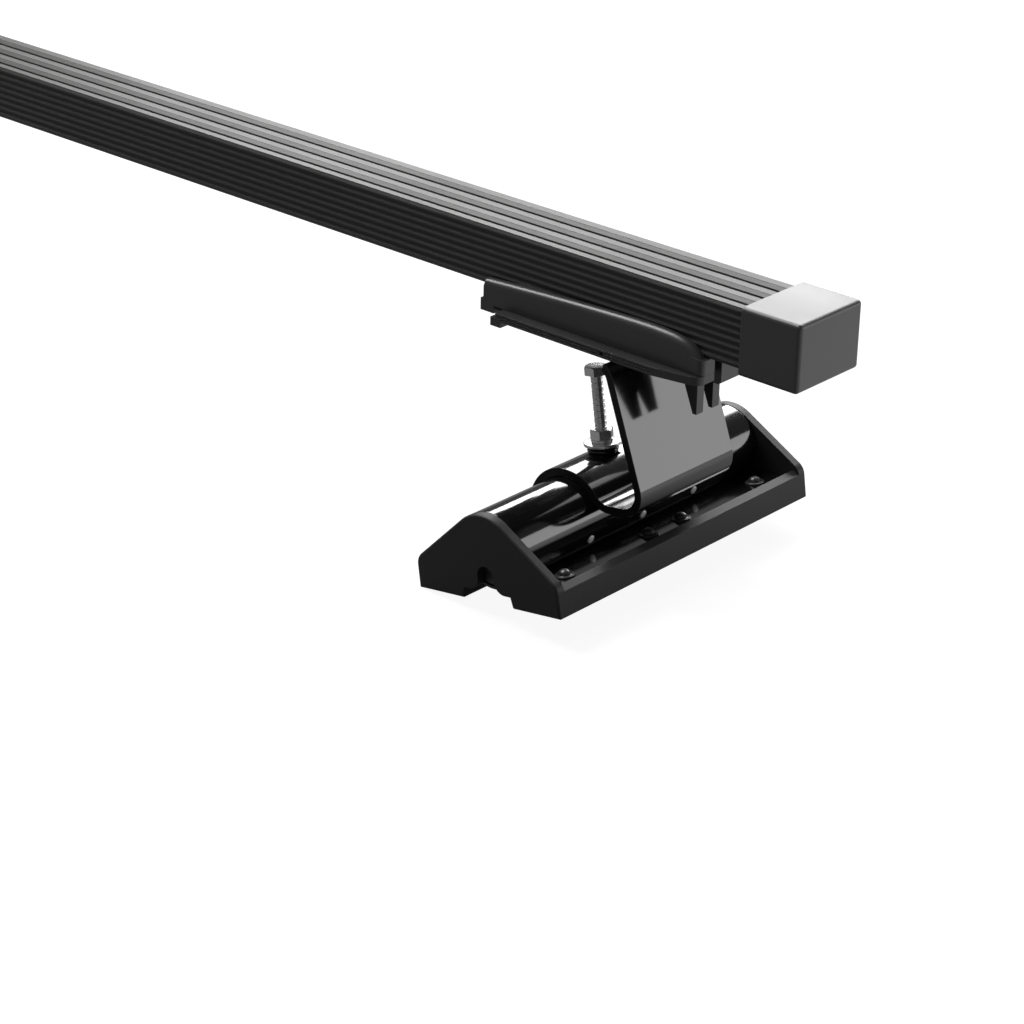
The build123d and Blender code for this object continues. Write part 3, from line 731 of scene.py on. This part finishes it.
# Smooth values through the given stations, a cubic between each two of them
def throughStations(stations, samples):
    rows = []
    last = len(stations) - 1
    for i in range(samples + 1):
        share = i / samples * last
        k = min(int(share), last - 1)
        t = share - k
        ends = [stations[max(k - 1, 0)], stations[k], stations[k + 1], stations[min(k + 2, last)]]
        row = []
        for a, b, c, d in zip(*ends):
            row.append(0.5 * (2 * b + (c - a) * t + (2 * a - 5 * b + 4 * c - d) * t ** 2
                              + (3 * b - a - 3 * c + d) * t ** 3))
        rows.append(row)
    return rows


def buildRidge(side, sign):
    loops = []
    inside, low, small = ridge["inside"], ridge["bottom"], ridge["insideRound"]
    for x, top, rounding, outside in throughStations(ridge["path"], ridge["samples"]):
        rounding = min(rounding, outside - inside - small - ridge["leastFlat"])
        outerMiddle, innerMiddle = (outside - rounding, top - rounding), (inside + small, top - small)
        profile = [(inside, low), (outside, low)]
        profile += circleArc(outerMiddle, rounding, 0, 90, ridge["roundSteps"])
        profile += circleArc(innerMiddle, small, 90, 180, ridge["insideSteps"])
        loops.append([(x * mm, y * sign * mm, z * mm) for y, z in profile])
    name = "saddleRidge_" + side + ("Back" if sign > 0 else "Front")
    piece = objectFrom(name, skinLoops(loops), smoothAngles["turned"])
    moved(piece, turned(side) @ clampFrame)
    standFor(piece, "clamp_" + side, slotOf("saddle_" + side), materials["clampPlastic"])


for side in sides:
    for sign in (-1, 1):
        buildRidge(side, sign)
print("saddles and rails ready")


# Foot: moulded pad, gloss tube, strips and rivets
foot = dict(
    tubeRadius=19.0 * mm, tubeWall=2.0 * mm, tubeEdge=0.5 * mm, tubeSegments=128, stripEdge=0.3 * mm,
)


def buildTube(side):
    node = "swivel_tube_" + side
    low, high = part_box(node)
    half = (high[1] - low[1]) / 2
    radius = foot["tubeRadius"]
    profile = ringProfile(radius - foot["tubeWall"], radius, -half, half, foot["tubeEdge"])
    piece = objectFrom("gloss_" + node, lathe(profile, foot["tubeSegments"]), smoothAngles["turned"])
    settle(weighNormals(piece))
    moved(piece, turned(side) @ footFrame @ Matrix.Rotation(math.pi / 2, 4, "X"))
    standFor(piece, "foot_" + side, slotOf(node), materials["glossSteel"], node)


for side in sides:
    buildTube(side)
    for name in ("outer_strip", "inner_strip"):
        node = name + "_" + side
        piece = softCopy(node, "soft_" + node, foot["stripEdge"])
        standFor(piece, "foot_" + side, slotOf(node), materials["glossSteel"], node)
    node = "foot_pad_" + side
    piece = softCopy(node, "moulded_" + node)  # the solid has its own rounded edges
    standFor(piece, "foot_" + side, slotOf(node), materials["padRubber"], node)
print("tubes, strips and pads ready")


# Rivets with a dome on a flat rim, and the pale pins on the tube's flank, whose near-white colour is partly a
# painted highlight
rivet = dict(
    rimRadius=4.8 * mm, rimHeight=0.8 * mm, rimEdge=0.3 * mm, edgeSteps=3, sunk=1.0 * mm,
    domeRadius=3.2 * mm, domeHeight=2.5 * mm, domeFoot=0.4 * mm, domeRise=0.2 * mm, domeSteps=10,
    inset=29.15 * mm, seat=-12.5 * mm, spots=(-70.5, -10.5, 13.5, 70.5), segments=40,
)
pin = dict(
    radius=2.1 * mm, height=0.7 * mm, round=0.5 * mm, roundSteps=6, sunk=0.6 * mm, angle=-24.0,
    spots=(-38.0, 0.0, 38.0), segments=32,
)


# One piece with the template on every spot; the template itself is removed
def repeated(name, template, spots, turn, finish):
    bm = bmesh.new()
    for spot in spots:
        bm.verts.new(spot)
    piece = objectFrom(name, bm)
    values = {"Part": template, "Turn": turn, "Finish": materials[finish]}
    runTree(piece, repeater, values, smoothAngles["rivets"])
    mesh = template.data
    bpy.data.objects.remove(template)
    bpy.data.meshes.remove(mesh)
    return piece


def rivetTemplate():
    edge, rim, sunk = rivet["rimEdge"], rivet["rimHeight"], -rivet["sunk"]
    dome, foothold = rivet["domeRadius"], rivet["rimHeight"] + rivet["domeRise"]
    profile = [(0.0, sunk), (rivet["rimRadius"], sunk)]
    profile += circleArc((rivet["rimRadius"] - edge, rim - edge), edge, 0, 90, rivet["edgeSteps"])
    profile += [(dome + rivet["domeFoot"], rim), (dome, foothold)]
    for i in range(1, rivet["domeSteps"]):
        angle = math.pi / 2 * i / rivet["domeSteps"]
        height = foothold + (rivet["domeHeight"] - rivet["domeRise"]) * math.sin(angle)
        profile.append((dome * math.cos(angle), height))
    profile.append((0.0, rim + rivet["domeHeight"]))
    return objectFrom("rivetTemplate", lathe(profile, rivet["segments"]))


def pinTemplate():
    radius, soft, steps = pin["radius"], pin["round"], pin["roundSteps"]
    base, top = foot["tubeRadius"] - pin["sunk"], foot["tubeRadius"] + pin["height"]
    profile = [(0.0, base), (radius, base)]
    for i in range(steps):
        angle = math.pi / 2 * i / steps
        profile.append((radius * math.cos(angle), top - soft + soft * math.sin(angle)))
    profile.append((0.0, top))
    return objectFrom("pinTemplate", lathe(profile, pin["segments"]))


for side in sides:
    place = turned(side) @ footFrame
    for name, sign in (("outer_rivets", 1), ("inner_rivets", -1)):
        spots = [(sign * rivet["inset"], y * mm, rivet["seat"]) for y in rivet["spots"]]
        node = name + "_" + side
        piece = repeated("domed_" + node, rivetTemplate(), spots, (0, 0, 0), "rivetBlack")
        standFor(moved(piece, place), "foot_" + side, slotOf(node), None, node)
    lean = math.radians(90 - pin["angle"])
    spots = [(0.0, y * mm, 0.0) for y in pin["spots"]]
    node = "tube_pins_" + side
    # The pins' near-white finish is partly a painted highlight
    piece = repeated("bright_" + node, pinTemplate(), spots, (0, lean, 0), "pinSteel")
    standFor(moved(piece, place), "foot_" + side, slotOf(node), None, node)
print("rivets and pins ready")


# Swivel stack: threaded bolt, lock nut and washers along the foot's upright
stack = dict(
    offset=-4.5 * mm, screwRadius=3.0 * mm, pitch=1.0 * mm, ridge=0.24 * mm, tip=0.6 * mm,
    threadShort=0.5 * mm, boltSegments=32, boltEnd=11.0 * mm, boltLength=50.0 * mm,
    flats=10.0 * mm, faceShare=0.96, bevelSlope=0.5, hexSegments=72, headHeight=4.2 * mm,
    nutHeight=5.0 * mm, hole=3.1 * mm,
    wideRadius=9.0 * mm, wideHalf=0.8 * mm, washerEdge=0.3 * mm, springEdge=0.2 * mm,
)
saddleWasher = dict(
    radius=7.6 * mm, seatEdge=0.4 * mm, round=0.9 * mm, roundAngles=(-20, 90), roundSteps=8,
    neckRadius=5.6 * mm, neckSpread=0.5 * mm, neckFoot=2.0 * mm, neckTop=2.3 * mm,
    height=3.0 * mm, topEdge=0.2 * mm, gap=0.10 * mm, segments=72,
)


# A hexagon whose ends are turned to a shallow cone, as on a real nut or bolt head
def hexagonLoops(height, hole, coneBelow):
    flats, count = stack["flats"] / 2, stack["hexSegments"]
    face = stack["faceShare"] * flats
    angles = [2 * math.pi * i / count for i in range(count)]
    rims = [flats / math.cos((a % (math.pi / 3)) - math.pi / 6) for a in angles]
    drops = [max(rim - face, 0.0) * stack["bevelSlope"] for rim in rims]

    def loop(radii, levels):
        return [(r * math.cos(a), r * math.sin(a), z) for r, z, a in zip(radii, levels, angles)]

    flat, below, above = [face] * count, [0.0] * count, [height] * count
    loops = [
        loop(flat, above), loop(rims, [height - drop for drop in drops]),
        loop(rims, drops if coneBelow else below), loop(flat, below),
    ]
    if hole:
        loops += [loop([hole] * count, below), loop([hole] * count, above)]
    return loops


# Puts a piece at a level of the stack's axis, measured from the middle of the tube
def onStack(piece, side, level=0.0):
    place = Matrix.Translation((0, stack["offset"], level))
    return moved(piece, turned(side) @ footFrame @ place)


def stackLevel(node):
    low, high = (Vector(corner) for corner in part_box(node))
    return (footFrame.inverted() @ ((low + high) / 2)).z


def buildBolt(side):
    node = "swivel_bolt_" + side
    core, tip, length = stack["screwRadius"] - stack["ridge"], stack["tip"], stack["boltLength"]
    profile = [(0.0, 0.0), (core - tip, 0.0), (core, tip), (core, length), (0.0, length)]
    rod = objectFrom("threaded_" + node, lathe(profile, stack["boltSegments"]))
    values = {
        "Radius": core, "Pitch": stack["pitch"], "Length": length - stack["threadShort"],
        "Ridge": stack["ridge"], "Finish": materials["zinc"],
    }
    runTree(rod, threadTree, values, smoothAngles["turned"])
    bm = bmesh.new()
    bm.from_mesh(rod.data)
    bpy.data.objects.remove(rod)
    head = skinLoops(hexagonLoops(stack["headHeight"], 0.0, False))
    bmesh.ops.translate(head, verts=head.verts, vec=(0, 0, length))
    headMesh = bpy.data.meshes.new("boltHead")
    head.to_mesh(headMesh)
    head.free()
    bm.from_mesh(headMesh)
    bpy.data.meshes.remove(headMesh)
    piece = objectFrom("bright_" + node, bm, smoothAngles["hexagon"])
    onStack(piece, side, stack["boltEnd"])
    standFor(piece, "foot_" + side, slotOf(node), materials["zinc"], node)


# A ring whose lower face sits on the arch and whose top narrows to the flat washer
def buildSaddleWasher(side):
    node = "saddle_washer_" + side
    crown = bracket["archRadius"] + bracket["gauge"]
    hole, gap, soft = stack["hole"], saddleWasher["gap"], saddleWasher["round"]
    wide, narrow, edge = saddleWasher["radius"], saddleWasher["neckRadius"], saddleWasher["topEdge"]
    count = saddleWasher["segments"]
    angles = [2 * math.pi * i / count for i in range(count)]
    top = crown + saddleWasher["height"] - gap

    def seat(radius):
        return [(radius * math.cos(a), radius * math.sin(a),
                 math.sqrt(crown ** 2 - (radius * math.cos(a)) ** 2) + gap) for a in angles]

    def level(radius, z):
        return [(radius * math.cos(a), radius * math.sin(a), z) for a in angles]

    loops = [seat(hole), seat((hole + wide) / 2), seat(wide - saddleWasher["seatEdge"])]
    rounded = circleArc(
        (wide - soft, crown + soft), soft, *saddleWasher["roundAngles"], saddleWasher["roundSteps"]
    )
    neck = [
        (narrow + saddleWasher["neckSpread"], crown + saddleWasher["neckFoot"]),
        (narrow, crown + saddleWasher["neckTop"]),
        (narrow, top - edge), (narrow - edge, top), (hole, top),
    ]
    loops += [level(radius, z) for radius, z in rounded + neck]
    piece = objectFrom("black_" + node, skinLoops(loops, joined=True), smoothAngles["turned"])
    onStack(piece, side)
    standFor(piece, "foot_" + side, slotOf(node), materials["glossSteel"], node)


def buildStack(side):
    buildBolt(side)
    buildSaddleWasher(side)
    hole, half = stack["hole"], stack["wideHalf"]
    node = "wide_washer_" + side
    profile = ringProfile(hole, stack["wideRadius"], -half, half, stack["washerEdge"])
    piece = objectFrom("bright_" + node, lathe(profile), smoothAngles["turned"])
    onStack(piece, side, stackLevel("wide_washer_right"))
    standFor(piece, "foot_" + side, slotOf(node), materials["zinc"], node)
    node = "lock_nut_" + side
    shape = skinLoops(hexagonLoops(stack["nutHeight"], hole, True), joined=True)
    piece = objectFrom("bright_" + node, shape, smoothAngles["hexagon"])
    onStack(piece, side, stackLevel("lock_nut_right") - stack["nutHeight"] / 2)
    standFor(piece, "foot_" + side, slotOf(node), materials["zinc"], node)
    node = "spring_washer_" + side
    piece = softCopy(node, "soft_" + node, stack["springEdge"])
    standFor(piece, "foot_" + side, slotOf(node), materials["zinc"], node)


for side in sides:
    buildStack(side)
print("swivel stacks ready")


# The photographer's view: position in millimetres, and the directions of the picture's axes
view = dict(
    place=(1300.9, -999.4, 628.97), right=(0.74411, 0.66780, 0.01866),
    up=(-0.29794, 0.30672, 0.90397), focal=105.01, sensor=36.0,
)
cameraData = bpy.data.cameras.new("camera")
cameraData.lens = view["focal"]
cameraData.sensor_width = view["sensor"]
cameraData.sensor_fit = "HORIZONTAL"
camera = bpy.data.objects.new("camera", cameraData)
bpy.context.scene.collection.objects.link(camera)
right = Vector(view["right"]).normalized()
up = Vector(view["up"])
up = (up - right * up.dot(right)).normalized()
turn = Matrix((right, up, right.cross(up))).transposed()
camera.matrix_world = Matrix.Translation(Vector(view["place"]) * mm) @ turn.to_4x4()
bpy.context.scene.camera = camera
bpy.context.scene.view_settings.view_transform = "Standard"
print("camera ready")


# Pale floor and a soft studio; what gloss mirrors of the floor brightens beyond the bar's right end
studio = dict(
    floorSize=14.0, floorColor=(0.14, 0.14, 0.14), floorRough=0.9, worldFill=0.14, seenGlow=0.92,
    mirrorGlow=(0.05, 0.85), mirrorToward=(0.7, 0.7, 0.0), mirrorReach=(0.38, 0.62),
)


def buildFloor():
    bm = bmesh.new()
    bmesh.ops.create_grid(bm, x_segments=1, y_segments=1, size=studio["floorSize"] / 2)
    floor = objectFrom("floor", bm)
    material = bpy.data.materials.new("paleFloor")
    material.use_nodes = True
    tree = material.node_tree
    shader = tree.nodes["Principled BSDF"]
    shader.inputs["Base Color"].default_value = (*studio["floorColor"], 1.0)
    shader.inputs["Roughness"].default_value = studio["floorRough"]
    shader.inputs["Specular IOR Level"].default_value = 0.0
    output = tree.nodes["Material Output"]
    path = addNode(tree, "ShaderNodeLightPath")
    seen = addNode(tree, "ShaderNodeMath", operation="MULTIPLY")
    seen.inputs[1].default_value = studio["seenGlow"]
    mirrored = addNode(tree, "ShaderNodeMath", operation="MULTIPLY_ADD")
    place = addNode(tree, "ShaderNodeTexCoord")
    along = addNode(tree, "ShaderNodeVectorMath", operation="DOT_PRODUCT")
    along.inputs[1].default_value = studio["mirrorToward"]
    grade = addNode(tree, "ShaderNodeMapRange")
    for i, end in enumerate(("Min", "Max")):
        grade.inputs["From " + end].default_value = studio["mirrorReach"][i]
        grade.inputs["To " + end].default_value = studio["mirrorGlow"][i]
    glow = addNode(tree, "ShaderNodeEmission")
    mix = addNode(tree, "ShaderNodeAddShader")
    link = tree.links.new
    link(place.outputs["Object"], along.inputs[0])
    link(along.outputs["Value"], grade.inputs["Value"])
    link(grade.outputs["Result"], mirrored.inputs[1])
    link(path.outputs["Is Camera Ray"], seen.inputs[0])
    link(path.outputs["Is Glossy Ray"], mirrored.inputs[0])
    link(seen.outputs["Value"], mirrored.inputs[2])
    link(mirrored.outputs["Value"], glow.inputs["Strength"])
    link(shader.outputs["BSDF"], mix.inputs[0])
    link(glow.outputs["Emission"], mix.inputs[1])
    link(mix.outputs["Shader"], output.inputs["Surface"])
    giveFinish(floor, material)


# White where the camera sees it, and a soft fill for everything else
def buildWorld():
    world = bpy.data.worlds.new("studio")
    bpy.context.scene.world = world
    world.use_nodes = True
    tree = world.node_tree
    background = tree.nodes["Background"]
    background.inputs["Color"].default_value = (1.0, 1.0, 1.0, 1.0)
    path = addNode(tree, "ShaderNodeLightPath")
    level = addNode(tree, "ShaderNodeMapRange")
    level.inputs["To Min"].default_value = studio["worldFill"]
    level.inputs["To Max"].default_value = 1.0
    tree.links.new(path.outputs["Is Camera Ray"], level.inputs["Value"])
    tree.links.new(level.outputs["Result"], background.inputs["Strength"])


# Directions from the right swivel, distances in metres, powers in watts
lamps = {
    "topSoftbox": dict(toward=(-0.575, -0.02, 0.79), distance=2.6, size=(1.5, 1.2), power=66.0),
    "backSoftbox": dict(toward=(-0.41, 0.75, 0.50), distance=2.6, size=(2.4, 0.9), power=78.0),
    "sideSoftbox": dict(toward=(0.73, 0.68, 0.16), distance=2.6, size=(1.6, 1.2), power=18.0),
    "frontFill": dict(toward=(0.35, -0.85, 0.40), distance=3.0, size=(2.0, 2.0), power=0.6),
}


def buildLamps():
    for name, values in lamps.items():
        light = bpy.data.lights.new(name, "AREA")
        light.shape = "RECTANGLE"
        light.size, light.size_y = values["size"]
        light.energy = values["power"]
        lamp = bpy.data.objects.new(name, light)
        bpy.context.scene.collection.objects.link(lamp)
        direction = Vector(values["toward"]).normalized()
        lamp.location = swivel + direction * values["distance"]
        lamp.rotation_euler = direction.to_track_quat("Z", "Y").to_euler()
        lamp.visible_camera = False


buildFloor()
buildWorld()
buildLamps()
print("studio ready")
